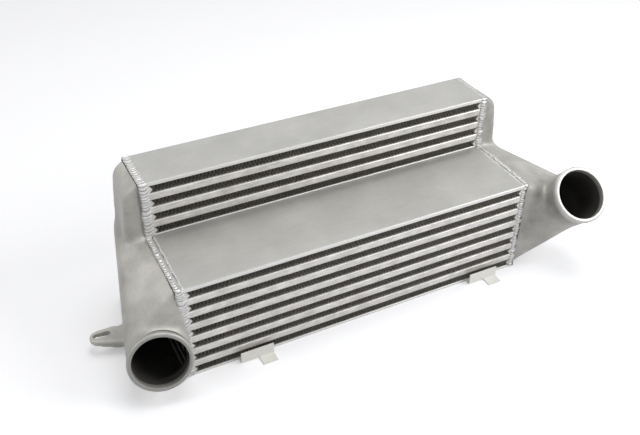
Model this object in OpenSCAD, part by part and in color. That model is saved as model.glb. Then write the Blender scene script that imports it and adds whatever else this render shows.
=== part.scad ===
// Stepped bar-and-plate charge-air cooler: a shallow upper block on a deep lower block,
// each a stack of open fin rows and closed charge tubes, with a cast end tank welded to each end.
// Millimetres, +Z up. The origin is the middle of the underside of the core.
// X runs along the core, -Y is the side that the two hose ports face.

/* [Core] */
// Length of the core between the two tanks
core_len = 520; // [420:5:640]
// Depth of the lower block, front to back
lower_depth = 191; // [160:1:230]
// Depth of the upper block, front to back
upper_depth = 73; // [55:1:100]
// Open fin rows in the upper block
upper_rows = 4; // [3:1:4]
// Open fin rows in the lower block
lower_rows = 7; // [5:1:7]
// Height of an open fin row
fin_height = 10.7; // [9:0.1:12]
// Height of the bars that close a charge tube
bar_height = 9; // [8:0.1:10]
// Depth of the bars that close a charge tube
bar_depth = 10; // [6:0.5:14]
// How far the crown of a closing bar stands out
bar_crown = 0.6; // [0:0.1:1.2]
// Thickness of a separator sheet
sheet_thickness = 0.8; // [0.5:0.1:1.2]

/* [Plates] */
// Thickness of the bottom plate
bottom_plate_thickness = 4; // [3:0.5:6]
// Thickness of the plate that makes the step
step_plate_thickness = 6; // [4:0.5:8]
// Thickness of the plate under the upper block
riser_plate_thickness = 2.4; // [1.6:0.2:4]
// Thickness of the top plate
top_plate_thickness = 5.5; // [3:0.5:8]
// Chamfer along the long edges of the plates
plate_chamfer = 0.7; // [0.2:0.1:1.2]

/* [Fins] */
// Length of one wave of the outer fin
fin_wave = 5; // [4.5:0.5:12]
// Thickness of the outer fin, measured upright
fin_sheet = 0.9; // [0.6:0.1:1.4]
// Setback of the outer fin from the faces of the core
fin_setback = 1; // [0.5:0.5:3]
// Length of one wave of the fin inside a charge tube
turbulator_wave = 12; // [10:0.5:16]
// Thickness of the fin inside a charge tube, measured upright
turbulator_sheet = 0.8; // [0.6:0.1:1.2]

/* [Header bars] */
// Width of a header bar at the sheets
header_width = 7.5; // [6:0.5:14]
// How far the pointed nose of a header bar reaches into its fin row
header_nose = 4.5; // [2:0.5:7]

/* [Tanks] */
// Wall of the cast tanks
tank_wall = 4.5; // [3.5:0.5:6]
// How far the outline of a tank lies inside the outline of the core
tank_inset = 1; // [0.5:0.1:2]
// Radius that rounds the top of the shoulder of a tank
shoulder_radius = 25; // [18:1:26]
// How much narrower the shoulder is at its back than at its front
shoulder_splay = 4.5; // [0:0.5:8]
// Length of the square foot of a tank before it bends to its port
bowl_land = 6; // [3:0.5:10]
// Radius of the corners of the foot of a tank
bowl_corner = 10; // [8:0.5:16]
// Rounding of the top edge of the belly of a tank
post_round = 10; // [4:0.5:11]
// How far the middle of the belly lies behind the middle of the core
belly_middle = 0; // [-10:1:20]
// Left tank: width of its shoulder at the top
left_shoulder_width = 27; // [24:0.5:30]
// Left tank: width of its shoulder where it meets the body
left_shoulder_foot = 32; // [31:0.5:36]
// Left tank: width of its shoulder at the base
left_shoulder_base = 45; // [38:0.5:48]
// Left tank: how far the blend at the foot of its shoulder reaches outward
left_blend_out = 2; // [0.5:0.5:6]
// Left tank: how far that blend reaches forward
left_blend_ahead = 9; // [4:0.5:14]
// Left tank: how far that blend climbs
left_blend_rise = 10; // [6:0.5:14]
// Left tank: height of the foot of that blend
left_blend_foot = 141; // [138:0.5:146]
// Left tank: reach of its back corner beyond the core
left_back_reach = 33; // [28:0.5:40]
// Left tank: radius of its back corner
left_back_radius = 12; // [12:0.5:20]
// Left tank: reach of its belly beyond the core
left_belly_reach = 48; // [44:0.5:56]
// Left tank: radius of its belly
left_belly_radius = 20; // [16:0.5:26]
// Left tank: height of the top of its belly
left_belly_top = 138; // [120:1:144]
// Right tank: width of its shoulder at the top
right_shoulder_width = 25; // [23:0.5:28]
// Right tank: width of its shoulder where it meets the body
right_shoulder_foot = 31.5; // [30:0.5:35]
// Right tank: width of its shoulder at the base
right_shoulder_base = 34; // [30:0.5:40]
// Right tank: how far the blend at the foot of its shoulder reaches outward
right_blend_out = 12; // [6:0.5:18]
// Right tank: how far that blend reaches forward
right_blend_ahead = 6; // [3:0.5:10]
// Right tank: how far that blend climbs
right_blend_rise = 16; // [12:0.5:22]
// Right tank: height of the foot of that blend
right_blend_foot = 140; // [134:0.5:142]
// Right tank: reach of its back corner beyond the core
right_back_reach = 17; // [14:0.5:30]
// Right tank: radius of its back corner
right_back_radius = 24; // [14:0.5:28]
// Right tank: reach of its belly beyond the core
right_belly_reach = 30; // [24:0.5:40]
// Right tank: radius of its belly
right_belly_radius = 15; // [13:0.5:20]
// Right tank: height of the top of its belly
right_belly_top = 120; // [100:1:140]

/* [Ports] */
// Inner radius of the hose ports
bore_radius = 36; // [32:0.5:38]
// Wall of the hose ports
port_wall = 4.5; // [3.5:0.25:5.5]
// How far the rolled lip stands out from the spigot
lip_height = 1; // [0.5:0.25:2]
// How far the rolled lip lies behind the mouth
lip_setback = 1.4; // [0.5:0.1:3]
// Length of the rolled lip
lip_length = 4.8; // [4:0.2:7]
// Rounding of the rolled lip
lip_round = 0.8; // [0.4:0.1:1]
// Left mouth: distance beyond the end of the core
left_reach = 39.3; // [36:0.1:60]
// Left mouth: distance ahead of the front of the core
left_ahead = 21.8; // [20:0.1:60]
// Left mouth: height of its middle above the underside
left_height = 63.5; // [50:0.5:90]
// Left mouth: angle that it turns outward
left_turn = 10; // [0:1:20]
// Left mouth: angle that it tilts up
left_tilt = 14; // [0:1:30]
// Left mouth: length of the round neck behind it
left_neck = 22; // [20:1:24]
// Right mouth: distance beyond the end of the core
right_reach = 69.6; // [55:0.1:85]
// Right mouth: distance ahead of the front of the core
right_ahead = 39.6; // [30:0.1:60]
// Right mouth: height of its middle above the underside
right_height = 136.5; // [120:0.5:150]
// Right mouth: angle that it turns outward
right_turn = -4; // [-8:1:10]
// Right mouth: angle that it tilts up
right_tilt = 46; // [35:1:55]
// Right mouth: length of the round neck behind it
right_neck = 57; // [40:1:62]

/* [Mounting ear] */
// Height of the top face of the ear above the underside
ear_height = 24; // [16:1:34]
// Thickness of the ear at its tip
ear_thickness = 7.5; // [4:0.5:9]
// Thickness of the ear at its root
ear_root_thickness = 17; // [9:0.5:20]
// Reach of the tip of the ear beyond the end of the core
ear_reach = 102.5; // [96:0.5:112]
// Where the root of the ear is buried in the tank, beyond the end of the core
ear_root = 40; // [36:1:44]
// How far the tip of the ear lies behind the middle of the core
ear_middle = 5; // [0:1:12]
// Radius of the round tip of the ear
ear_tip_radius = 12; // [10:0.5:14]
// Distance from the middle of the tip to the front corner of the root
ear_spread = 34; // [24:1:40]
// Distance from the tip of the ear to the middle of the slot
ear_slot_inset = 17.5; // [14.5:0.5:20]
// How far the slot lies behind the middle of the tip
ear_slot_shift = 2; // [-2:0.5:3]
// Width of the slot in the ear
ear_slot_width = 7.5; // [5:0.5:8]
// Length of the slot in the ear, end to end
ear_slot_length = 24; // [16:1:28]

/* [Duct tabs] */
// Width of a duct tab
tab_width = 47; // [36:1:56]
// Sheet thickness of a duct tab
tab_thickness = 1.6; // [1:0.1:2.5]
// Height of a duct tab
tab_height = 18; // [12:0.5:22]
// Outer radius of the bend between the tab and its foot
tab_bend = 3; // [2.5:0.5:5]
// How far a duct tab stands ahead of the core
tab_standoff = 7.5; // [5:0.5:12]
// How far the foot of a duct tab reaches forward
tab_foot = 16; // [10:1:24]
// Radius of the relief hole in a duct tab
tab_relief = 2.5; // [1.5:0.5:3]
// Distance from the left end of the core to the left tab
left_tab_inset = 70; // [40:1:120]
// Distance from the right end of the core to the right tab
right_tab_inset = 38; // [20:1:80]

/* [Weld beads] */
// Width of the weld bead round the end of the core
bead_width = 15; // [12:0.5:18]
// Height that the weld bead stands out
bead_height = 2; // [1.5:0.25:3]
// How far the middle of the bead lies beyond the end of the core
bead_shift = -1; // [-2:0.5:1]
// Length of one ripple of the weld bead
bead_ripple = 11; // [8:1:16]

/* [Hidden] */

tube_height = bar_height + 2 * sheet_thickness;
row_pitch = fin_height + tube_height;
step_bottom = bottom_plate_thickness + lower_rows * fin_height + (lower_rows - 1) * tube_height;
step_top = step_bottom + step_plate_thickness;
upper_base = step_top + riser_plate_thickness;
top_plate_bottom = upper_base + upper_rows * fin_height + (upper_rows - 1) * tube_height;
core_top = top_plate_bottom + top_plate_thickness;
front = -lower_depth / 2;
back = lower_depth / 2;
riser_front = back - upper_depth;
upper_middle = back - upper_depth / 2;
fin_length = core_len - 2 * (header_width + header_nose);
spigot_radius = bore_radius + port_wall;
aluminium = [0.72, 0.72, 0.71];
cast = [0.66, 0.65, 0.63];
fin_metal = [0.36, 0.34, 0.31];

// Rows are counted from the top of their block
function lower_fin_bottom(i) = bottom_plate_thickness + (lower_rows - i) * row_pitch;
function upper_fin_bottom(i) = upper_base + (upper_rows - i) * row_pitch;

module along_x(length) {
    rotate([90, 0, 90]) linear_extrude(length, center = true) children();
}

module along_y(length) {
    rotate([90, 0, 0]) linear_extrude(length, center = true) children();
}

// A flat plate with its long edges chamfered
module core_plate(depth, middle, bottom, thickness) {
    c = plate_chamfer;
    d = depth / 2;
    t = thickness;
    color(aluminium) translate([0, middle, bottom]) along_x(core_len)
        polygon([[-d, c], [c - d, 0], [d - c, 0], [d, c], [d, t - c], [d - c, t], [c - d, t], [-d, t - c]]);
}

module top_plate() {
    core_plate(upper_depth, upper_middle, top_plate_bottom, top_plate_thickness);
}

module riser_plate() {
    core_plate(upper_depth, upper_middle, step_top, riser_plate_thickness);
}

module step_plate() {
    core_plate(lower_depth, 0, step_bottom, step_plate_thickness);
}

module bottom_plate() {
    core_plate(lower_depth, 0, 0, bottom_plate_thickness);
}

// Outline of a folded strip: a zigzag of half waves, as high as its row, with an upright thickness
function zigzag(length, height, wave, thickness) =
    let (half_waves = 2 * floor(length / wave), step = length / half_waves, rise = height - thickness)
    concat(
        [for (i = [0:half_waves]) [i * step - length / 2, (i % 2) * rise]],
        [for (i = [half_waves:-1:0]) [i * step - length / 2, (i % 2) * rise + thickness]]
    );

// Outer fin: its waves run along X, and air passes through it along Y
module outer_fin(depth, middle, bottom) {
    color(fin_metal) translate([0, middle, bottom]) along_y(depth - 2 * fin_setback)
        polygon(zigzag(fin_length, fin_height, fin_wave, fin_sheet));
}

module upper_fin(i) {
    outer_fin(upper_depth, upper_middle, upper_fin_bottom(i));
}

module lower_fin(i) {
    outer_fin(lower_depth, 0, lower_fin_bottom(i));
}

// Charge tube: two separator sheets brazed to a front bar and a back bar with crowned faces
module charge_tube(depth, middle, bottom) {
    d = depth / 2;
    face = d - bar_crown;
    h = tube_height;
    t = sheet_thickness;
    inner = depth - 2 * bar_depth;
    color(aluminium) translate([0, middle, bottom]) along_x(core_len)
        difference() {
            polygon([[-face, 0], [face, 0], [face, t], [d, 2 * t], [d, h - 2 * t], [face, h - t],
                [face, h], [-face, h], [-face, h - t], [-d, h - 2 * t], [-d, 2 * t], [-face, t]]);
            translate([-inner / 2, t]) square([inner, bar_height]);
        }
}

module upper_charge_tube(i) {
    charge_tube(upper_depth, upper_middle, upper_fin_bottom(i) - tube_height);
}

module lower_charge_tube(i) {
    charge_tube(lower_depth, 0, lower_fin_bottom(i) - tube_height);
}

// Inner fin: its waves run along Y, and charge air passes through it along X
module turbulator(depth, middle, bottom) {
    inner = depth - 2 * bar_depth;
    color(fin_metal) translate([0, middle, bottom + sheet_thickness]) along_x(core_len - 2 * header_width)
        polygon(zigzag(inner, bar_height, turbulator_wave, turbulator_sheet));
}

module upper_turbulator(i) {
    turbulator(upper_depth, upper_middle, upper_fin_bottom(i) - tube_height);
}

module lower_turbulator(i) {
    turbulator(lower_depth, 0, lower_fin_bottom(i) - tube_height);
}

// Puts what is drawn beyond X = 0 at one end of the core: side 1 is the right end, -1 the left end
module at_end(side) {
    mirror([side < 0 ? 1 : 0, 0, 0]) translate([core_len / 2, 0, 0]) children();
}

// Header bar: closes one end of an open fin row, with a pointed nose towards the fin
module header_bar(side, depth, middle, bottom) {
    color(aluminium) at_end(side) translate([0, middle, bottom]) along_y(depth)
        polygon([[0, 0], [0, fin_height], [-header_width, fin_height],
            [-header_width - header_nose, fin_height / 2], [-header_width, 0]]);
}

module upper_header_bar(side, i) {
    header_bar(side, upper_depth, upper_middle, upper_fin_bottom(i));
}

module lower_header_bar(side, i) {
    header_bar(side, lower_depth, 0, lower_fin_bottom(i));
}

// A port is [reach beyond the core, distance ahead of its front, height, turn outward, tilt up, neck]
left_port = [left_reach, left_ahead, left_height, left_turn, left_tilt, left_neck];
right_port = [right_reach, right_ahead, right_height, right_turn, right_tilt, right_neck];
// A belly is two upright posts that the wall of a bowl wraps round, at its back and its middle: [reach, radius, top]
left_belly = [[left_back_reach, left_back_radius, step_top - tank_inset],
    [left_belly_reach, left_belly_radius, left_belly_top]];
right_belly = [[right_back_reach, right_back_radius, step_top - tank_inset],
    [right_belly_reach, right_belly_radius, right_belly_top]];
// A shoulder is [width at its top, width where it meets the bowl, width at its base]
left_shoulder = [left_shoulder_width, left_shoulder_foot, left_shoulder_base];
right_shoulder = [right_shoulder_width, right_shoulder_foot, right_shoulder_base];
// A blend is [reach outward, reach forward, climb, height of its foot, angle where it runs into the bowl]
left_blend = [left_blend_out, left_blend_ahead, left_blend_rise, left_blend_foot, 90];
right_blend = [right_blend_out, right_blend_ahead, right_blend_rise, right_blend_foot, 60];
blend_corner = 3;
blend_root = 26;
blend_back = 22;
blend_bury = 0.7;
bowl_overlap = 0.4;
neck_seam = 1;
overshoot = 1;
core_clear = 60;
shoulder_bend = core_top - tank_inset - shoulder_radius;

function mix(a, b, t) = a + (b - a) * t;
function port_middle(port) = [port[0], front - port[1], port[2]];

module at_port(port) {
    translate(port_middle(port)) rotate([90 - port[4], 0, port[3]]) children();
}

// Solid through rings of points, each ring with as many points as the next, closed at both ends
module loft(rings) {
    n = len(rings[0]);
    last = len(rings) - 1;
    walls = [for (k = [0:last - 1], i = [0:n - 1], half = [0, 1])
        let (a = k * n + i, b = k * n + (i + 1) % n)
        half == 0 ? [a, a + n, b] : [b, a + n, b + n]];
    ends = [[for (i = [0:n - 1]) i], [for (i = [n - 1:-1:0]) last * n + i]];
    polyhedron([for (ring = rings) each ring], concat(walls, ends), convexity = 6);
}

// Upright post with a rounded top edge, inset all round
module post(shape, middle, inset) {
    top = shape[2] - inset;
    r = shape[1] - inset;
    e = min(post_round, r - 1);
    translate([shape[0] - shape[1], middle, 0]) rotate_extrude($fn = 40)
        polygon(concat([[0, top], [0, tank_inset + inset], [r, tank_inset + inset]],
            [for (a = [0:22.5:90]) [r - e + e * cos(a), top - e + e * sin(a)]]));
}

// Square-to-round body of a tank: from the outline of the lower block, round the belly, to the neck
module bowl(port, belly, inset, neck_radius) {
    edge = tank_inset + inset;
    c = bowl_corner - inset;
    hull() {
        for (y = [front + edge + c, back - edge - c], z = [edge + c, step_top - edge - c])
            translate([0, y, z]) rotate([0, 90, 0]) cylinder(r = c, h = bowl_land, $fn = 24);
        post(belly[0], back - tank_inset - belly[0][1], inset);
        post(belly[1], belly_middle, inset);
        at_port(port) translate([0, 0, -port[5] - neck_seam])
            cylinder(r = neck_radius + bowl_overlap, h = neck_seam, $fn = 64);
    }
}

// Section of the shoulder, outward and up: a round top and a wall that leans out to its foot
function shoulder_ring(shape, inset, splay, y) =
    let (
        lean = atan((shape[1] - shape[0]) / (shoulder_bend - step_top)),
        x = shape[0] - splay - shoulder_radius,
        r = shoulder_radius - inset,
        start = x < 0 ? acos(-x / r) : 90
    )
    concat(
        [[-overshoot, y, tank_inset + inset], [-overshoot, y, shoulder_bend + r * sin(start)]],
        [for (i = [0:12]) let (a = mix(start, lean, i / 12)) [x + r * cos(a), y, shoulder_bend + r * sin(a)]],
        [[shape[1] - splay - inset, y, step_top], [shape[2] - splay - inset, y, tank_inset + inset]]
    );

// The shoulder stands on the back half of the bowl and is narrower at its back
module shoulder(shape, inset) {
    loft([shoulder_ring(shape, inset, 0, riser_front + tank_inset + inset),
        shoulder_ring(shape, inset, shoulder_splay, back - tank_inset - inset)]);
}

// Level outline of the blend at angle t: it starts just inside the wall of the shoulder, at 0 degrees,
// and swells out in front and outside
function blend_ring(shape, blend, t, drop) =
    let (
        swell = 1 - cos(t),
        z = blend[3] + blend[2] * (1 - sin(t)) - drop,
        w = mix(shape[1], shape[0], (z + drop - step_top) / (shoulder_bend - step_top)) - blend_bury,
        y = riser_front + tank_inset + blend_bury,
        rear = back - tank_inset - blend_bury,
        c = blend_corner
    )
    concat(
        [[-overshoot, y - swell * blend[1], z], [-overshoot, rear, z], [w - shoulder_splay, rear, z],
            [w - shoulder_splay / 2, y + blend_back, z]],
        [for (a = [0:22.5:90])
            [w - c + (c + swell * blend[0]) * cos(a), y + c - (c + swell * blend[1]) * sin(a), z]]
    );

// Concave blend where the shoulder meets the bowl
module shoulder_blend(shape, blend) {
    loft(concat([for (k = [0:6]) blend_ring(shape, blend, blend[4] * k / 6, 0)],
        [blend_ring(shape, blend, blend[4], blend_root)]));
}

// Round neck that ends in a spigot with a rolled lip a little behind its mouth, for a hose
module neck(port) {
    lip = spigot_radius + lip_height;
    foot = -port[5] - neck_seam / 2;
    at_port(port) rotate_extrude($fn = 72)
        polygon([[0, foot], [spigot_radius, foot], [spigot_radius, -lip_setback - lip_length],
            [lip, lip_round - lip_setback - lip_length], [lip, -lip_setback - lip_round],
            [spigot_radius, -lip_setback], [spigot_radius, 0], [0, 0]]);
}

// What a tank fills, without its hollow
module tank_block(port, belly, shape, blend) {
    shoulder(shape, 0);
    shoulder_blend(shape, blend);
    bowl(port, belly, 0, spigot_radius);
    neck(port);
}

// End tank, drawn beyond the end of the core
module tank(port, belly, shape, blend) {
    difference() {
        union() {
            tank_block(port, belly, shape, blend);
            children();
        }
        translate([-overshoot, 0, 0]) shoulder(shape, tank_wall);
        translate([-overshoot, 0, 0]) bowl_foot();
        bowl(port, belly, tank_wall, bore_radius);
        at_port(port) translate([0, 0, -port[5] - neck_seam / 2])
            cylinder(r = bore_radius, h = port[5] + neck_seam + overshoot, $fn = 72);
        translate([-core_clear, front, 0]) cube([core_clear, lower_depth, core_top]);
    }
}

// Opening of the bowl at the core
module bowl_foot() {
    edge = tank_inset + tank_wall;
    translate([0, front + edge, edge]) cube([2 * overshoot, lower_depth - 2 * edge, step_top - 2 * edge]);
}

module left_tank() {
    color(cast) at_end(-1) tank(left_port, left_belly, left_shoulder, left_blend) ear();
}

module right_tank() {
    color(cast) at_end(1) tank(right_port, right_belly, right_shoulder, right_blend);
}

// Point where the line from p touches a circle, on the side that sign gives
function tangent_point(middle, r, p, sign) =
    let (v = p - middle, a = atan2(v[1], v[0]) + sign * acos(r / norm(v)))
    middle + r * [cos(a), sin(a)];

// Slotted mounting ear on the outer side of the left tank, thinner towards its tip
module ear() {
    tip = [ear_reach - ear_tip_radius, ear_middle];
    root_back = [ear_root, tip[1] + ear_tip_radius];
    root_front = [ear_root, tip[1] - ear_spread];
    slot_half = (ear_slot_length - ear_slot_width) / 2;
    slot_middle = ear_middle + ear_slot_shift;
    slot_reach = ear_reach - ear_slot_inset;
    difference() {
        intersection() {
            linear_extrude(ear_height) union() {
                translate(tip) circle(ear_tip_radius, $fn = 48);
                polygon([root_back, tip + [0, ear_tip_radius],
                    tangent_point(tip, ear_tip_radius, root_front, 1), root_front]);
                }
            along_y(2 * lower_depth)
                polygon([[ear_root, ear_height], [ear_reach, ear_height],
                    [ear_reach, ear_height - ear_thickness], [ear_root, ear_height - ear_root_thickness]]);
        }
        for (end = [-1, 1]) translate([slot_reach + end * slot_half, slot_middle, 0])
            cylinder(h = 2 * ear_height, d = ear_slot_width, $fn = 32);
        translate([slot_reach - slot_half, slot_middle - ear_slot_width / 2, 0])
            cube([2 * slot_half, ear_slot_width, 2 * ear_height]);
    }
}

// Weld bead: a rippled half-round run that follows the joint between core and tank
bead_corners = [[front, bead_height], [front, step_top], [riser_front, step_top],
    [riser_front, core_top], [back, core_top], [back, bead_height]];
bead_section = [[-0.5, 0], [-0.32, 0.75], [0, 1], [0.32, 0.75], [0.5, 0.1], [0.5, -1], [0, -1]];
bead_dip = 0.78;

// Outward normal of one straight run of the bead
function run_normal(s) =
    let (v = bead_corners[s + 1] - bead_corners[s])
    [-v[1], v[0]] / norm(v);

function run_steps(s) = ceil(norm(bead_corners[s + 1] - bead_corners[s]) / (bead_ripple / 2));

// Stations along the bead, each a point and the way that the bead stands up there
bead_stations = concat(
    [for (s = [0:4], k = [0:run_steps(s) - 1])
        [mix(bead_corners[s], bead_corners[s + 1], k / run_steps(s)),
            k == 0 && s > 0 ? run_normal(s) + run_normal(s - 1) : run_normal(s)]],
    [[bead_corners[5], run_normal(4)]]
);

function bead_ring(k) =
    let (swell = k % 2 == 0 ? 1 : bead_dip, station = bead_stations[k])
    [for (q = bead_section)
        let (p = station[0] + station[1] * q[1] * bead_height * swell)
        [q[0] * bead_width + bead_shift, p[0], p[1]]];

// Bead of one tank: it lies on the core and follows the surface of the tank beside it
module weld(port, belly, shape, blend) {
    difference() {
        loft([for (k = [0:len(bead_stations) - 1]) bead_ring(k)]);
        translate([-core_clear, front, 0]) cube([core_clear, lower_depth, step_top]);
        translate([-core_clear, riser_front, 0]) cube([core_clear, upper_depth, core_top]);
        tank_block(port, belly, shape, blend);
    }
}

module left_weld() {
    color(aluminium) at_end(-1) weld(left_port, left_belly, left_shoulder, left_blend);
}

module right_weld() {
    color(aluminium) at_end(1) weld(right_port, right_belly, right_shoulder, right_blend);
}

// Section of a tab: an upright sheet over the origin and, past a bend, a foot that runs along +X
module tab_section(foot) {
    translate([-tab_thickness / 2, 0]) {
        difference() {
            translate([tab_bend, tab_bend]) circle(tab_bend, $fn = 48);
            translate([tab_bend, tab_bend]) circle(tab_bend - tab_thickness, $fn = 48);
            translate([tab_bend, 0]) square(2 * tab_bend);
            translate([0, tab_bend]) square(2 * tab_bend);
        }
        translate([0, tab_bend]) square([tab_thickness, tab_height - tab_bend]);
        translate([tab_bend, 0]) square([foot - tab_bend, tab_thickness]);
    }
}

// Folded sheet tab that stands ahead of the lowest fin row. Half of its foot folds back to the bottom plate,
// the other half folds forward, and a relief hole parts them
module duct_tab() {
    half = tab_width / 2;
    share = half + tab_relief / 2;
    middle = front - tab_standoff - tab_thickness / 2;
    difference() {
        union() {
            rotate([90, 0, 90]) linear_extrude(share)
                translate([middle, 0]) tab_section(tab_standoff + tab_thickness);
            translate([tab_width - share, 0, 0]) rotate([90, 0, 90]) linear_extrude(share)
                translate([middle, 0]) mirror([1, 0]) tab_section(tab_foot);
        }
        translate([half, middle, tab_thickness]) rotate([90, 0, 0])
            cylinder(r = tab_relief, h = 2 * tab_foot, center = true, $fn = 32);
    }
}

module duct_tabs() {
    color(aluminium) {
        translate([left_tab_inset - core_len / 2, 0, 0]) duct_tab();
        translate([core_len / 2 - right_tab_inset - tab_width, 0, 0]) duct_tab();
    }
}

top_plate();
riser_plate();
step_plate();
bottom_plate();
for (i = [1:upper_rows]) {
    upper_fin(i);
    upper_header_bar(-1, i);
    upper_header_bar(1, i);
}
for (i = [1:lower_rows]) {
    lower_fin(i);
    lower_header_bar(-1, i);
    lower_header_bar(1, i);
}
for (i = [1:upper_rows - 1]) {
    upper_charge_tube(i);
    upper_turbulator(i);
}
for (i = [1:lower_rows - 1]) {
    lower_charge_tube(i);
    lower_turbulator(i);
}
left_tank();
right_tank();
left_weld();
right_weld();
duct_tabs();
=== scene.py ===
import math

import bmesh
import bpy
import numpy as np
from mathutils import Matrix, Vector


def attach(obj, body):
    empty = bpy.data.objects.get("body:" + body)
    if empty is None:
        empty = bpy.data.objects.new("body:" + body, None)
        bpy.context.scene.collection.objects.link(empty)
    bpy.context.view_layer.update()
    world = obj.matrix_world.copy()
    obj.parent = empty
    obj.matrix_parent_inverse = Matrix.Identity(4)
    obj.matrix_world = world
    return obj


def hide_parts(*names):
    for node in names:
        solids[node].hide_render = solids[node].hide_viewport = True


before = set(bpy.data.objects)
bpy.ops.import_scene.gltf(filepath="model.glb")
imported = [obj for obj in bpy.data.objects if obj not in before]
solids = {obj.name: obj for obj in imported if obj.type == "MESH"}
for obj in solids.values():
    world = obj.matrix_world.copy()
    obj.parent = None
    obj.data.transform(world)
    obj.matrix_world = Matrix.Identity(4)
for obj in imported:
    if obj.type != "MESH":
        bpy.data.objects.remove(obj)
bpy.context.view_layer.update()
print("solids loaded:", len(solids))


# small helpers for node trees
def plug(tree, socket, value):
    # the socket gets a link from another socket, or a plain value
    if isinstance(value, bpy.types.NodeSocket):
        tree.links.new(value, socket)
    else:
        socket.default_value = value


def addNode(tree, kind, options=None, **values):
    # options are the node's own settings. Values are its inputs: i0 is the first, i1 the next, and
    # other inputs go by name, with spaces written as _
    node = tree.nodes.new(kind)
    for key, value in (options or {}).items():
        setattr(node, key, value)
    for key, value in values.items():
        numbered = key[0] == "i" and key[1:].isdigit()
        plug(tree, node.inputs[int(key[1:]) if numbered else key.replace("_", " ")], value)
    return node


def addMath(tree, operation, first, second=0.0, clamp=False):
    options = {"operation": operation, "use_clamp": clamp}
    return addNode(tree, "ShaderNodeMath", options, i0=first, i1=second).outputs[0]


def partOf(tree, vector, axis):
    return addNode(tree, "ShaderNodeSeparateXYZ", Vector=vector).outputs[axis]


def mixColour(tree, share, first, second):
    # the first colour where the share is 0, and the second, given as three numbers, where it is 1
    node = addNode(tree, "ShaderNodeMix", {"data_type": "RGBA"}, i0=share, i6=first,
                   i7=(*second, 1.0))
    return node.outputs[2]


def newGroup(name, inputs, outputs):
    # inputs and outputs are lists of (name, socket kind)
    group = bpy.data.node_groups.new(name, "ShaderNodeTree")
    for label, kind in inputs:
        group.interface.new_socket(label, in_out="INPUT", socket_type="NodeSocket" + kind)
    for label, kind in outputs:
        group.interface.new_socket(label, in_out="OUTPUT", socket_type="NodeSocket" + kind)
    return group, group.nodes.new("NodeGroupInput"), group.nodes.new("NodeGroupOutput")


def useGroup(tree, group, **values):
    # puts the group into a tree and gives its first output
    node = tree.nodes.new("ShaderNodeGroup")
    node.node_tree = group
    for key, value in values.items():
        plug(tree, node.inputs[key], value)
    return node.outputs[0]


# effects that several finishes share
noiseDetail = {"grain": (4.0, 0.6), "cloud": (6.0, 0.62)}  # detail and roughness of each noise


def makeGrain():
    # long fine scratches: noise on a space squeezed along X, so that it runs in that direction
    group, enter, leave = newGroup(
        "brushedGrain", [("Vector", "Vector"), ("Fine", "Float"), ("Length", "Float")],
        [("Grain", "Float")])
    squeeze = addNode(group, "ShaderNodeCombineXYZ", X=enter.outputs["Length"], Y=1.0, Z=1.0)
    flat = addNode(group, "ShaderNodeVectorMath", {"operation": "MULTIPLY"},
                   i0=enter.outputs["Vector"], i1=squeeze.outputs[0])
    detail, roughness = noiseDetail["grain"]
    fine = addNode(group, "ShaderNodeTexNoise", Vector=flat.outputs[0],
                   Scale=enter.outputs["Fine"], Detail=detail, Roughness=roughness)
    group.links.new(fine.outputs["Fac"], leave.inputs["Grain"])
    return group


def makeMottle():
    # cloudy patches
    group, enter, leave = newGroup(
        "mottledMetal", [("Vector", "Vector"), ("Patch", "Float")], [("Cloud", "Float")])
    detail, roughness = noiseDetail["cloud"]
    cloud = addNode(group, "ShaderNodeTexNoise", Vector=enter.outputs["Vector"],
                    Scale=enter.outputs["Patch"], Detail=detail, Roughness=roughness)
    group.links.new(cloud.outputs["Fac"], leave.inputs["Cloud"])
    return group


def makeEdges():
    # how far a rounded normal turns away from the true one, which is only near an edge; it places
    # the painted highlight along edges
    group, enter, leave = newGroup(
        "edgeShine", [("Radius", "Float"), ("Gain", "Float")], [("Edge", "Float")])
    rounded = addNode(group, "ShaderNodeBevel", {"samples": 4}, Radius=enter.outputs["Radius"])
    true = group.nodes.new("ShaderNodeNewGeometry")
    same = addNode(group, "ShaderNodeVectorMath", {"operation": "DOT_PRODUCT"},
                   i0=rounded.outputs[0], i1=true.outputs["True Normal"])
    turned = addMath(group, "SUBTRACT", 1.0, same.outputs["Value"])
    edge = addMath(group, "MULTIPLY", turned, enter.outputs["Gain"], clamp=True)
    group.links.new(edge, leave.inputs["Edge"])
    return group


grainGroup = makeGrain()
mottleGroup = makeMottle()
edgeGroup = makeEdges()


def newMaterial(name):
    material = bpy.data.materials.new(name)
    material.use_nodes = True
    tree = material.node_tree
    tree.nodes.clear()
    out = tree.nodes.new("ShaderNodeOutputMaterial")
    shader = tree.nodes.new("ShaderNodeBsdfPrincipled")
    tree.links.new(shader.outputs[0], out.inputs["Surface"])
    return material, tree, shader


noiseSpan = (0.3, 0.7)  # the mixed noise stays between these, so dark and light lie on them


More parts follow.
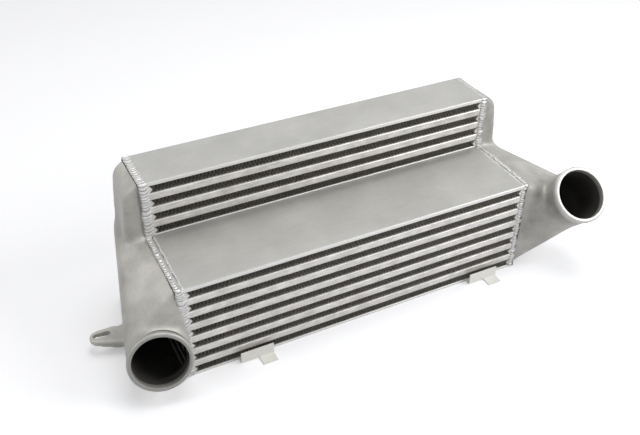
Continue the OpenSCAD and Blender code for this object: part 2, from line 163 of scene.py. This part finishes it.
def brushedMetal(name, s):
    # scratches and clouds are mixed to one noise, which sets colour and roughness. The keys edge,
    # side, flat and innerEnd and the key for the mesh's shade are optional, and each lays its own
    # colour over
    # a part: a painted highlight on edges and on upright faces, painted shade on faces that look up
    # and where a piece ends inside a tank, and the painted shade and soot that the mesh gives
    material, tree, shader = newMaterial(name)
    where = tree.nodes.new("ShaderNodeTexCoord")
    place, normal = where.outputs["Object"], where.outputs["Normal"]
    grain = useGroup(tree, grainGroup, Vector=place, Fine=s["fine"], Length=s["length"])
    cloud = useGroup(tree, mottleGroup, Vector=place, Patch=s["patch"])
    mixed = addNode(tree, "ShaderNodeMix", {"data_type": "FLOAT"}, i0=s["cloudShare"],
                    i2=grain, i3=cloud).outputs[0]
    ramp = addNode(tree, "ShaderNodeValToRGB", i0=mixed)
    for element, stop, key in zip(ramp.color_ramp.elements, noiseSpan, ("dark", "light")):
        element.position = stop
        element.color = (*s[key], 1.0)
    colour = ramp.outputs["Color"]
    # a painted highlight along the edges
    if "edge" in s:
        edge = useGroup(tree, edgeGroup, Radius=s["edgeWidth"], Gain=s["edgeGain"])
        colour = mixColour(tree, edge, colour, s["edge"])
    if "side" in s:  # a painted highlight on faces that stand upright, such as the front edge of a plate
        tilt = addMath(tree, "ABSOLUTE", partOf(tree, normal, "Z"))
        upright = addMath(tree, "LESS_THAN", tilt, s["sideBelow"])
        colour = mixColour(tree, upright, colour, s["side"])
    if "flat" in s:  # painted shade on faces that look up
        start, end = s["flatSpan"]
        level = addNode(tree, "ShaderNodeMapRange", i0=partOf(tree, normal, "Z"), i1=start, i2=end,
                        i3=0.0, i4=1.0)
        colour = mixColour(tree, level.outputs[0], colour, s["flat"])
    if "shadeAndSoot" in s:  # painted shade from the mesh: how deep each point lies in shade, and on the beads in soot too
        deep = addNode(tree, "ShaderNodeAttribute", {"attribute_name": "shadeAndSoot"}).outputs["Fac"]
        colour = mixColour(tree, deep, colour, s["shadeAndSoot"])
    if "innerEnd" in s:  # painted shade where the piece ends inside a tank
        far = addMath(tree, "ABSOLUTE", partOf(tree, place, "X"))
        inside = addMath(tree, "GREATER_THAN", far, s["innerEnd"])
        colour = mixColour(tree, inside, colour, s["endShade"])
    tree.links.new(colour, shader.inputs["Base Color"])
    rough = addNode(tree, "ShaderNodeMapRange", i0=mixed, i1=noiseSpan[0], i2=noiseSpan[1],
                    i3=s["rough"][0], i4=s["rough"][1])
    tree.links.new(rough.outputs[0], shader.inputs["Roughness"])
    bump = addNode(tree, "ShaderNodeBump", Height=grain, Strength=s["bump"], Distance=s["depth"])
    tree.links.new(bump.outputs[0], shader.inputs["Normal"])
    shader.inputs["Metallic"].default_value = s["metal"]
    return material


# side and edge are painted highlights on the plates' upright faces and along their edges
plateFinish = {"fine": 1100.0, "length": 0.05, "patch": 11.0, "cloudShare": 0.62,
               "dark": (0.39, 0.387, 0.37), "light": (0.55, 0.545, 0.52), "rough": (0.4, 0.54),
               "bump": 0.08, "depth": 0.0002, "metal": 0.5,
               "side": (0.82, 0.815, 0.79), "sideBelow": 0.5,
               "edge": (0.92, 0.92, 0.9), "edgeWidth": 0.0014, "edgeGain": 6.0}
# the last two keys paint shade on the bar ends inside the tanks
barFinish = {"fine": 420.0, "length": 0.12, "patch": 55.0, "cloudShare": 0.5,
             "dark": (0.50, 0.485, 0.455), "light": (0.98, 0.96, 0.925), "rough": (0.34, 0.5),
             "bump": 0.2, "depth": 0.0003, "metal": 0.4,
             "innerEnd": 0.2597, "endShade": (0.009, 0.009, 0.008)}
finFinish = {"fine": 700.0, "length": 1.0, "patch": 30.0, "cloudShare": 0.6,
             "dark": (0.29, 0.27, 0.24), "light": (0.36, 0.34, 0.31), "rough": (0.45, 0.6),
             "bump": 0.1, "depth": 0.0003, "metal": 0.5}
castFinish = {"fine": 900.0, "length": 1.0, "patch": 16.5, "cloudShare": 0.8,
              "dark": (0.31, 0.30, 0.275), "light": (0.66, 0.645, 0.60), "rough": (0.42, 0.56),
              "bump": 0.3, "depth": 0.0003, "metal": 0.3}
# a darker copy of the casting, with its own cloud size, for the right tank: painted shade
shadedCastFinish = dict(castFinish, patch=19.0, dark=(0.27, 0.262, 0.242), light=(0.605, 0.59, 0.55))
# flat is painted shade on the faces that look up, and the last colour is soot and painted shade
# between ripples and in crevices
weldFinish = {"fine": 520.0, "length": 1.0, "patch": 90.0, "cloudShare": 0.4,
              "dark": (0.66, 0.66, 0.65), "light": (0.98, 0.98, 0.97), "rough": (0.28, 0.42),
              "bump": 0.35, "depth": 0.0005, "metal": 0.35,
              "flat": (0.68, 0.68, 0.665), "flatSpan": (0.5, 0.9), "shadeAndSoot": (0.10, 0.095, 0.085)}
rimFinish = {"fine": 900.0, "length": 1.0, "patch": 30.0, "cloudShare": 0.5,
             "dark": (0.52, 0.51, 0.49), "light": (0.66, 0.65, 0.62), "rough": (0.36, 0.46),
             "bump": 0.1, "depth": 0.0002, "metal": 0.35}
# a darker copy of the rim for the left port: painted shade, with a painted highlight along its
# edges
shadedRimFinish = dict(rimFinish, dark=(0.27, 0.265, 0.25), light=(0.40, 0.395, 0.37), metal=0.25,
                     edge=(0.72, 0.71, 0.68), edgeWidth=0.0006, edgeGain=5.0)
tabFinish = {"fine": 900.0, "length": 0.3, "patch": 30.0, "cloudShare": 0.5,
             "dark": (0.82, 0.81, 0.76), "light": (0.90, 0.89, 0.84), "rough": (0.45, 0.55),
             "bump": 0.1, "depth": 0.0002, "metal": 0.05}
# near-black metal for the faces inside the tanks: painted shade
insideShadeFinish = {"fine": 700.0, "length": 1.0, "patch": 20.0, "cloudShare": 0.7,
                "dark": (0.035, 0.033, 0.030), "light": (0.075, 0.072, 0.066),
                "rough": (0.6, 0.75), "bump": 0.3, "depth": 0.0003, "metal": 0.3}
# darker metal for the bore of each rim: painted shade, which deepens further in
sleeveFinish = dict(insideShadeFinish, dark=(0.30, 0.29, 0.27), light=(0.44, 0.43, 0.40),
                    shadeAndSoot=insideShadeFinish["dark"])

insideShadeMetal = brushedMetal("tankInsideShade", insideShadeFinish)
sleeveMetal = brushedMetal("portSleeve", sleeveFinish)
plateMetal = brushedMetal("brushedPlate", plateFinish)
rimMetal = {"left": brushedMetal("shadedRim", shadedRimFinish),
            "right": brushedMetal("machinedRim", rimFinish)}
barMetal = brushedMetal("closingBar", barFinish)
finMetal = brushedMetal("darkFin", finFinish)
castMetal = {"left": brushedMetal("sandCasting", castFinish),
             "right": brushedMetal("shadedCasting", shadedCastFinish)}
weldMetal = brushedMetal("weldMetal", weldFinish)
tabMetal = brushedMetal("foldedTab", tabFinish)
print("finishes made")


def wear(piece, material):
    # clearing an empty list would still put every face back to the first material
    if piece.data.materials:
        piece.data.materials.clear()
    piece.data.materials.append(material)


finishOf = (("plate", plateMetal), ("fin", finMetal), ("turbulator", finMetal), ("tube", barMetal),
            ("header_bar", barMetal), ("left_tank", castMetal["left"]),
            ("right_tank", castMetal["right"]), ("weld", weldMetal), ("tabs", tabMetal))
for name, solid in solids.items():
    wear(solid, next(metal for word, metal in finishOf if word in name))


# helpers for meshes
def addObject(name, mesh, material):
    piece = bpy.data.objects.new(name, mesh)
    bpy.context.scene.collection.objects.link(piece)
    wear(piece, material)
    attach(piece, "root")
    return piece


def gridMesh(name, points, closeAround=True, caps=False):
    # points is rows x columns x 3. Each row is joined to the next one, and where the grid closes
    # around, its last column to its first
    rows, columns = points.shape[:2]
    index = np.arange(rows * columns).reshape(rows, columns)
    if closeAround:
        index = np.concatenate([index, index[:, :1]], 1)
    corners = [index[:-1, :-1], index[:-1, 1:], index[1:, 1:], index[1:, :-1]]
    faces = np.stack(corners, -1).reshape(-1, 4).tolist()
    if caps:
        faces += [list(range(columns))[::-1], list(range((rows - 1) * columns, rows * columns))]
    mesh = bpy.data.meshes.new(name)
    mesh.from_pydata(points.reshape(-1, 3).tolist(), [], faces)
    mesh.polygons.foreach_set("use_smooth", np.ones(len(mesh.polygons), bool))
    return mesh


def mergePoints(mesh, distance, faceOutward=False):
    # points within the distance become one, which closes the seams
    work = bmesh.new()
    work.from_mesh(mesh)
    bmesh.ops.remove_doubles(work, verts=work.verts, dist=distance)
    if faceOutward:
        bmesh.ops.recalc_face_normals(work, faces=work.faces)
    work.to_mesh(mesh)
    work.free()


def readArray(items, key, kind, width=1):
    # one number of each item, or width numbers as a row
    values = np.empty(len(items) * width, kind)
    items.foreach_get(key, values)
    return values.reshape(-1, width) if width > 1 else values


def setShadeAndSoot(mesh, values):
    # how deep each point lies in painted shade, and on the beads in soot too, from 0 to 1, for the
    # materials
    shadeAndSoot = mesh.attributes.new("shadeAndSoot", "FLOAT", "POINT")
    shadeAndSoot.data.foreach_set("value", values.astype(np.float32).ravel())


def between(value, low, high):
    # 0 up to low, 1 from high on, and a straight line from one to the other
    return np.clip((value - low) / (high - low), 0.0, 1.0)


def softNoise(along, step, seed):
    # values from -1 to 1 that change smoothly: seeded knots one step apart, joined by a cosine ease
    place = along / step
    low = np.floor(place).astype(int)
    knots = np.random.default_rng(seed).uniform(-1.0, 1.0, low.max() + 2)
    share = 0.5 - 0.5 * np.cos(np.pi * (place - low))
    return knots[low] * (1.0 - share) + knots[low + 1] * share


# cast tanks: a copy of each casting is melted into even voxels and relaxed, which rounds its
# corners as sand does. Lengths are metres. The spans say over which |x| or z a share grows
castSettings = {"merge": 1e-5, "voxel": 0.0021, "rounds": 44, "share": 0.5,
                "footSpan": (0.262, 0.270), "shoulderSpan": (0.152, 0.172),
                "earSpan": (0.318, 0.328), "earTop": 0.05,
                "foot": 0.2636, "front": -0.0985, "cut": 0.009}
tankSettings = {
    "left": dict(castSettings, shoulder=0.4, ear=0.08, sleeve=0.026,
                 mouth=(-0.2993, -0.1173, 0.0635), axis=(-0.168491, -0.955557, 0.241922)),
    "right": dict(castSettings, shoulder=0.5, ear=1.0, sleeve=0.055,
                  mouth=(0.3296, -0.1351, 0.1365), axis=(-0.048457, -0.692966, 0.71934)),
}


def relaxed(mesh, s):
    # in each round a point goes its share of the way to the mean of its neighbours. The share falls
    # to nothing at the foot under the bead, and to less on the shoulder and the ear, which keep
    # their form
    points = readArray(mesh.vertices, "co", np.float32, 3).astype(float)
    a, b = readArray(mesh.edges, "vertices", np.int32, 2).T
    ends, others = np.concatenate([a, b]), np.concatenate([b, a])
    count = np.bincount(ends, minlength=len(points))[:, None]
    x, z = np.abs(points[:, 0]), points[:, 2]
    share = s["share"] * between(x, *s["footSpan"])
    share *= 1.0 - (1.0 - s["shoulder"]) * between(z, *s["shoulderSpan"])
    share *= 1.0 - (1.0 - s["ear"]) * between(x, *s["earSpan"]) * (z < s["earTop"])
    for turn in range(s["rounds"]):
        sums = [np.bincount(ends, points[others, k], len(points)) for k in range(3)]
        points += share[:, None] * (np.stack(sums, -1) / count - points)
    mesh.vertices.foreach_set("co", points.ravel().astype(np.float32))
    mesh.update()


def innerShell(mesh, s):
    # marks the faces inside: each point takes the lowest index that an edge brings it, again and
    # again, until the points of one shell share one label. Edges in the foot under the bead are
    # left out, which parts the two shells. The outer one holds the highest point, and the inner one
    # is the commonest of the others
    points = readArray(mesh.vertices, "co", np.float32, 3)
    foot = (np.abs(points[:, 0]) < s["foot"]) & (points[:, 1] > s["front"])
    edges = readArray(mesh.edges, "vertices", np.int32, 2)
    a, b = edges[~foot[edges].all(1)].T
    label = np.arange(len(mesh.vertices))
    while True:
        low = label.copy()
        np.minimum.at(low, a, label[b])
        np.minimum.at(low, b, label[a])
        low = low[low]
        if (low == label).all():
            break
        label = low
    outer = label[np.where(foot, -1.0, points[:, 2]).argmax()]
    firstCorner = readArray(mesh.polygons, "loop_start", np.int32)
    faceLabel = label[readArray(mesh.loops, "vertex_index", np.int32)[firstCorner]]
    return faceLabel == np.bincount(faceLabel[faceLabel != outer]).argmax()


def castSkin(side, s):
    name, nodeName = side + "TankSkin", side + "_tank"
    mesh = solids[nodeName].data.copy()
    mergePoints(mesh, s["merge"])
    piece = addObject(name, mesh, castMetal[side])
    melt = piece.modifiers.new("melt", "REMESH")
    melt.mode, melt.voxel_size = "VOXEL", s["voxel"]
    melted = piece.evaluated_get(bpy.context.evaluated_depsgraph_get())
    skin = bpy.data.meshes.new_from_object(melted)
    piece.modifiers.clear()
    piece.data = skin
    skin.name = name
    relaxed(skin, s)
    # the end of the spigot is cut off square, because a machined rim takes its place
    work = bmesh.new()
    work.from_mesh(skin)
    bmesh.ops.bisect_plane(work, geom=[*work.verts, *work.edges, *work.faces], dist=1e-6,
                           plane_co=Vector(s["mouth"]) - s["cut"] * Vector(s["axis"]),
                           plane_no=s["axis"], clear_outer=True)
    work.to_mesh(skin)
    work.free()
    skin.polygons.foreach_set("use_smooth", np.ones(len(skin.polygons), bool))
    wear(piece, castMetal[side])
    # the faces inside the tank wear the near-black metal: painted shade
    skin.materials.append(insideShadeMetal)
    inner = innerShell(skin, s)
    skin.polygons.foreach_set("material_index", inner.astype(np.int32))
    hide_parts(nodeName)
    print(name, "faces:", len(skin.polygons), "inside:", int(inner.sum()))


# machined rims: one closed profile of (distance behind the mouth, radius) turned about the port.
# The profile is in millimetres, and bore rows are shares of the sleeve's length
rimSettings = {
    "lip": ((10.5, 38.5), (10.5, 40.0), (10.0, 40.5), (6.6, 40.5), (6.2, 41.2), (5.6, 41.45),
            (2.0, 41.45), (1.5, 41.2), (1.3, 40.6), (0.9, 40.45), (0.25, 40.4), (0.0, 40.1),
            (0.0, 36.5), (0.15, 36.2), (0.5, 36.0)),
    "boreRadius": 36.0, "boreRows": (0.1, 0.25, 0.5, 0.75, 1.0), "backRadius": 38.5, "sides": 144,
    "shade": 0.7, "sleeveFrom": 0.002, "sleeveRadius": 0.0375,
}


def machinedRim(side, s, r):
    # every profile point is swept round the port's axis on two directions that are square to it
    name = side + "Rim"
    sleeve = s["sleeve"] * 1000
    bore = [(row * sleeve, r["boreRadius"]) for row in r["boreRows"]]
    profile = np.array([*r["lip"], *bore, (sleeve, r["backRadius"])]) / 1000
    mouth = np.array(s["mouth"])
    axis = np.array(s["axis"]) / np.linalg.norm(s["axis"])
    level = np.cross(axis, (0.0, 0.0, 1.0))
    level /= np.linalg.norm(level)
    up = np.cross(level, axis)
    turn = np.linspace(0.0, 2.0 * np.pi, r["sides"], endpoint=False)[:, None, None]
    ring = np.cos(turn) * level + np.sin(turn) * up
    points = mouth - profile[None, :, :1] * axis + profile[None, :, 1:] * ring
    mesh = gridMesh(name, np.concatenate([points, points[:1]]))
    mergePoints(mesh, 1e-6, faceOutward=True)
    addObject(name, mesh, rimMetal[side])
    # the bore wears the sleeve's darker metal from a little way in, with painted shade that deepens
    # to the end of the sleeve
    mesh.materials.append(sleeveMetal)
    corners = readArray(mesh.vertices, "co", np.float32, 3)
    setShadeAndSoot(mesh, between((mouth - corners) @ axis, 0.0, s["sleeve"]) ** r["shade"])
    centres = readArray(mesh.polygons, "center", np.float32, 3)
    depth = (mouth - centres) @ axis
    radius = np.linalg.norm(centres - mouth + depth[:, None] * axis, axis=1)
    inBore = (depth > r["sleeveFrom"]) & (radius < r["sleeveRadius"])
    mesh.polygons.foreach_set("material_index", inBore.astype(np.int32))


for side in ("left", "right"):
    castSkin(side, tankSettings[side])
    machinedRim(side, tankSettings[side], rimSettings)
print("tanks cast")


# weld beads: both follow the joint between core and tank, up the front, over the step, up the
# riser, over the top and down the back. Lengths are millimetres. At each run, a distance along the
# path, core and tank are the bead's two edges beyond the end of the core, height is how far it
# stands out, and the last list is how much painted shade lies in the crevice on its tank side
coreEnd = {"left": -260.0, "right": 260.0}
beadPath = {
    "corners": ((-95.5, 2.0), (-95.5, 148.5), (22.5, 148.5), (22.5, 231.0), (95.5, 231.0),
                (95.5, 2.0)),
    "runs": (0, 15, 26, 62, 100, 138, 150, 256, 270, 340, 353, 416, 428, 649), "root": True,
}
beadSettings = {
    "left": dict(
        beadPath, ripple=4.6, lumps=0.6, sootAndShade=1.0, creviceFrom=0.5, seed=4,
        core=(-8.0, -8.5, -8.5, -8.5, -7.5, -6.5, -0.5, -0.5, -6.0, -6.0, -4.0, -4.0, -6.0, -6.0),
        tank=(6.0, 6.0, -1.5, -1.5, 3.0, 6.8, 6.6, 6.6, 6.8, 6.8, 6.6, 6.6, 6.0, 6.0),
        height=(2.4, 2.4, 2.2, 2.2, 2.6, 2.8, 2.0, 2.2, 3.0, 3.0, 1.9, 1.9, 1.9, 1.9),
        creviceShade=(0.3, 0.3, 0.3, 0.3, 0.4, 0.4, 0.4, 0.4, 0.7, 0.7, 0.0, 0.0, 0.4, 0.4)),
    "right": dict(
        beadPath, ripple=4.2, lumps=0.6, sootAndShade=1.0, creviceFrom=0.0, seed=9,
        core=(-7.4, -7.4, -7.4, -7.4, -7.4, -7.4, -1.0, -1.0, -6.5, -6.5, -3.5, -3.5, -6.0, -6.0),
        tank=(1.8, 1.8, 1.8, 1.8, 1.8, 1.8, 5.6, 5.6, 4.2, 4.2, 4.6, 4.6, 6.0, 6.0),
        height=(2.6, 2.6, 2.6, 2.6, 2.6, 2.6, 1.8, 2.0, 2.6, 2.6, 0.9, 0.9, 1.9, 1.9),
        creviceShade=(1.0, 1.0, 1.0, 1.0, 1.0, 1.0, 0.5, 0.5, 0.5, 0.5, 0.3, 0.3, 0.4, 0.4)),
}
# the second run is a thin bead along the step, on the core's side
secondRun = {"corners": ((-94.5, 148.3), (-40.0, 148.3), (21.5, 148.3)), "runs": (0, 116),
             "core": (-5.8, -5.8), "tank": (-2.0, -2.0), "height": (1.1, 1.1),
             "creviceShade": (0.9, 0.9), "ripple": 6.0, "lumps": 0.2, "sootAndShade": 0.3, "creviceFrom": 0.2,
             "root": False, "seedShift": 20}
beadForm = {"ring": 20, "corner": 2.5, "step": 0.4, "waver": 0.5, "bend": 0.5, "drift": 0.6,
            "skew": 0.7, "lean": 0.25, "fullness": 1.25, "rootDepth": 2.6, "rootEdge": 6.8,
            "rootSpread": 1.0, "rootSlope": 1.6, "rootBelow": -0.3, "darkBelow": -0.1,
            "creviceDarkening": (0.65, 0.6), "creviceWidth": 0.35,
            "noiseSteps": (4.0, 5.0, 11.0, 3.1, 8.0, 4.3, 6.0)}


def roundedPath(corners, radius, step):
    # the straight runs are drawn to within one radius of each corner, and a quadratic curve turns
    # the corner. The line is then divided into even steps
    pieces = [corners[0][None]]
    for before, corner, after in zip(corners[:-2], corners[1:-1], corners[2:]):
        come = corner + (before - corner) / np.linalg.norm(before - corner) * radius
        leave = corner + (after - corner) / np.linalg.norm(after - corner) * radius
        t = np.linspace(0.0, 1.0, 8)[:, None]
        pieces.append((1 - t) ** 2 * come + 2 * t * (1 - t) * corner + t ** 2 * leave)
    pieces.append(corners[-1][None])
    line = np.concatenate(pieces)
    gaps = np.linalg.norm(np.diff(line, axis=0), axis=1)
    length = np.concatenate([[0.0], np.cumsum(gaps)])
    along = np.arange(0.0, length[-1], step)
    return along, np.stack([np.interp(along, length, line[:, k]) for k in (0, 1)], -1)


def beadMesh(name, end, s, f):
    # section: half an oval above the joint and a wider root below it. The height swells once each
    # ripple, and the ripples are crescents, because their phase falls off with the square of the
    # distance from the middle. Slow noise moves the edges and the height. Soot and painted shade
    # lie between the ripples, and painted shade lies in the crevice along the tank's edge
    along, line = roundedPath(np.array(s["corners"], float), f["corner"], f["step"])
    slope = np.gradient(line, axis=0)
    slope /= np.linalg.norm(slope, axis=1)[:, None]
    normal = np.stack([-slope[:, 1], slope[:, 0]], -1)
    angle = np.linspace(0.0, 2.0 * np.pi, f["ring"], endpoint=False)
    across, above = np.cos(angle)[None], np.sin(angle)[None]
    noise = [softNoise(along, step, s["seed"] + number)[:, None]
             for number, step in enumerate(f["noiseSteps"])]
    core, tank, height, creviceShade = (np.interp(along, s["runs"], s[key])[:, None]
                                    for key in ("core", "tank", "height", "creviceShade"))
    core = core + f["waver"] * noise[0]
    tank = tank + f["waver"] * noise[1] - f["waver"]
    phase = along[:, None] / s["ripple"] - f["bend"] * across ** 2 + f["drift"] * noise[2]
    wave = np.sin(np.pi * (phase - np.floor(phase)) ** f["skew"])
    lump = 1.0 + s["lumps"] * (noise[3] + noise[4]) / 2
    lean = 1.0 + f["lean"] * noise[5] * across
    top = height * (0.5 + 0.5 * wave) * lump * lean / (f["fullness"] + s["lumps"])
    oval = np.sqrt(np.abs(above)) * top * f["fullness"]
    rise = np.where(above > 0, oval, f["rootDepth"] * above)
    reach = (core + tank) / 2 + across * (tank - core) / 2
    if s["root"]:
        edge = np.minimum(f["rootEdge"], tank + f["rootSpread"])
        wide = np.maximum(reach, edge * np.minimum(1.0, -f["rootSlope"] * above))
        reach = np.where((above < f["rootBelow"]) & (across > 0), wide, reach)
    x = end + math.copysign(1.0, end) * reach
    yz = line[:, None, :] + normal[:, None, :] * rise[..., None]
    mesh = gridMesh(name, np.concatenate([x[..., None], yz], -1) / 1000, caps=True)
    if s["root"]:  # its faces below the joint wear the second material, the two caps the first
        below = np.sin(angle + np.pi / f["ring"]) < f["darkBelow"]
        below = np.append(np.tile(below, len(along) - 1), (False, False))
        mesh.polygons.foreach_set("material_index", below.astype(np.int32))
    # painted shade in the crevice along the tank's edge
    creviceDarkening = creviceShade * (f["creviceDarkening"][0] + f["creviceDarkening"][1] * noise[6])
    creviceDarkening = creviceDarkening * between(across, s["creviceFrom"], s["creviceFrom"] + f["creviceWidth"])
    setShadeAndSoot(mesh, np.clip(np.maximum((1.0 - wave) ** 2 * s["sootAndShade"], creviceDarkening), 0.0, 1.0))
    mergePoints(mesh, 1e-6, faceOutward=True)
    return mesh


for side, end in coreEnd.items():
    mesh = beadMesh(side + "Bead", end, beadSettings[side], beadForm)
    bead = addObject(side + "Bead", mesh, weldMetal)
    # the bead's root wears the near-black inside metal: painted shade
    mesh.materials.append(insideShadeMetal)  # the root, which shows only through the ports
    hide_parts(side + "_weld")
    s = dict(secondRun, seed=beadSettings[side]["seed"] + secondRun["seedShift"])
    mesh = beadMesh(side + "EdgeRun", end, s, beadForm)
    addObject(side + "EdgeRun", mesh, weldMetal)
print("beads laid")


# stage, lamps, world and camera
stageSettings = {"reach": 6.0, "lines": 9, "colour": (0.87, 0.875, 0.9), "rough": 0.9,
                 "lift": 0.28}


def makeFloor(s):
    # a flat grid, reach metres each way, at the height of the underside
    steps = np.linspace(-s["reach"], s["reach"], s["lines"])
    x, y = np.meshgrid(steps, steps)
    mesh = gridMesh("floor", np.stack([x, y, np.zeros_like(x)], -1), closeAround=False)
    floor = bpy.data.objects.new("floor", mesh)
    bpy.context.scene.collection.objects.link(floor)
    material, tree, shader = newMaterial("paleFloor")
    shader.inputs["Base Color"].default_value = (*s["colour"], 1.0)
    shader.inputs["Roughness"].default_value = s["rough"]
    shader.inputs["Specular IOR Level"].default_value = 0.0
    # the camera sees the floor a little lighter than it is, which keeps the background white and
    # the shadow soft
    shader.inputs["Emission Color"].default_value = (1.0, 1.0, 1.0, 1.0)
    seen = addNode(tree, "ShaderNodeLightPath").outputs["Is Camera Ray"]
    lift = addMath(tree, "MULTIPLY", seen, s["lift"])
    tree.links.new(lift, shader.inputs["Emission Strength"])
    wear(floor, material)


makeFloor(stageSettings)

lampSettings = (  # name, place, aim, size, watts
    ("key", (1.35, -1.0, 1.15), (0.25, 0.0, 0.1), 1.1, 19.0),
    ("top", (0.3, 0.2, 2.6), (0.0, 0.0, 0.1), 1.8, 28.0),
    ("left", (-2.0, 0.3, 1.3), (-0.2, 0.0, 0.1), 1.2, 8.0),
)
for name, place, aim, size, watts in lampSettings:
    lamp = bpy.data.lights.new(name, "AREA")
    lamp.energy, lamp.size, lamp.shape = watts, size, "DISK"
    holder = bpy.data.objects.new(name, lamp)
    holder.location = place
    holder.rotation_euler = (Vector(aim) - Vector(place)).to_track_quat("-Z", "Y").to_euler()
    bpy.context.scene.collection.objects.link(holder)

worldSettings = {"light": 0.27, "seen": 1.0}  # strength on the object, and where a ray sees it


def makeWorld(s):
    # camera, glossy and transmission rays see a white room, and all others a dim one
    world = bpy.data.worlds.new("studio")
    bpy.context.scene.world = world
    world.use_nodes = True
    tree = world.node_tree
    tree.nodes.clear()
    path = tree.nodes.new("ShaderNodeLightPath")
    direct = addMath(tree, "MAXIMUM", path.outputs["Is Camera Ray"], path.outputs["Is Glossy Ray"])
    direct = addMath(tree, "MAXIMUM", direct, path.outputs["Is Transmission Ray"])
    seen = addNode(tree, "ShaderNodeMapRange", i0=direct, i1=0.0, i2=1.0, i3=s["light"],
                   i4=s["seen"])
    glow = addNode(tree, "ShaderNodeBackground", Color=(1.0, 1.0, 1.0, 1.0),
                   Strength=seen.outputs[0])
    out = tree.nodes.new("ShaderNodeOutputWorld")
    tree.links.new(glow.outputs[0], out.inputs["Surface"])


makeWorld(worldSettings)

cameraSettings = {"place": (-0.4550, -0.8411, 0.8165), "azimuth": -27.21, "elevation": 36.42,
                  "roll": 0.8, "lens": 46.946, "sensor": 36.0, "clip": (0.05, 50.0)}


def placeCamera(s):
    # back points from the object to the camera; side and up are turned about it by the roll
    a, e, r = (math.radians(s[key]) for key in ("azimuth", "elevation", "roll"))
    back = Vector((math.sin(a) * math.cos(e), -math.cos(a) * math.cos(e), math.sin(e)))
    level = Vector((math.cos(a), math.sin(a), 0.0))
    rise = back.cross(level)
    side = math.cos(r) * level + math.sin(r) * rise
    up = math.cos(r) * rise - math.sin(r) * level
    lens = bpy.data.cameras.new("camera")
    lens.lens, lens.sensor_width = s["lens"], s["sensor"]
    lens.clip_start, lens.clip_end = s["clip"]
    holder = bpy.data.objects.new("camera", lens)
    turn = Matrix((side, up, back)).transposed().to_4x4()
    holder.matrix_world = Matrix.Translation(s["place"]) @ turn
    bpy.context.scene.collection.objects.link(holder)
    bpy.context.scene.camera = holder


placeCamera(cameraSettings)
bpy.context.scene.view_settings.view_transform = "Standard"
print("stage, lamps and camera placed")
